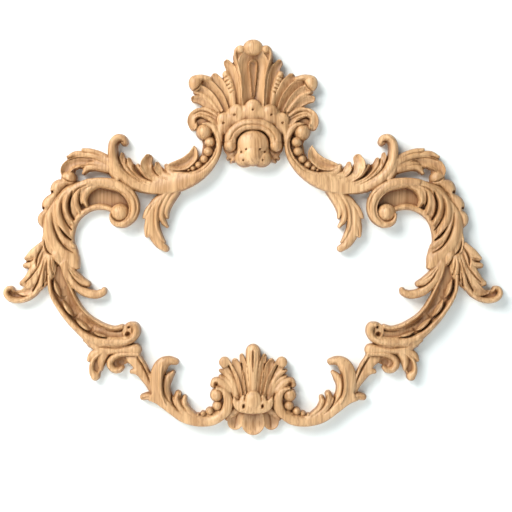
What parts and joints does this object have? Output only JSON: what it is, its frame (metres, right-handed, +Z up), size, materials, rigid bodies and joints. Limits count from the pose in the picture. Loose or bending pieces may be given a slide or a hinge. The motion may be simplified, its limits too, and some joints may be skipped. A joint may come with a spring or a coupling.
{
  "type": "carved wood applique",
  "caption": "Carved wooden applique: an open frame of scrolls, acanthus leaves and husks with a shell crown and foot, flat-backed for fixing to a wall, door or mirror.",
  "frame": {"origin": "on the flat back, on the centre line, behind the collar of the crown", "axes": "+Z up the face of the wall, +X along the width, +Y out of the flat back into the wall; the carved front looks along -Y"},
  "size_m": [0.801, 0.041, 0.631],
  "materials": {
    "carved_wood": "bare sanded hardwood, unfinished, with straight upright grain"
  },
  "bodies": {
    "root": {"carved_frame": "carved_wood"}
  },
  "joints": []
}
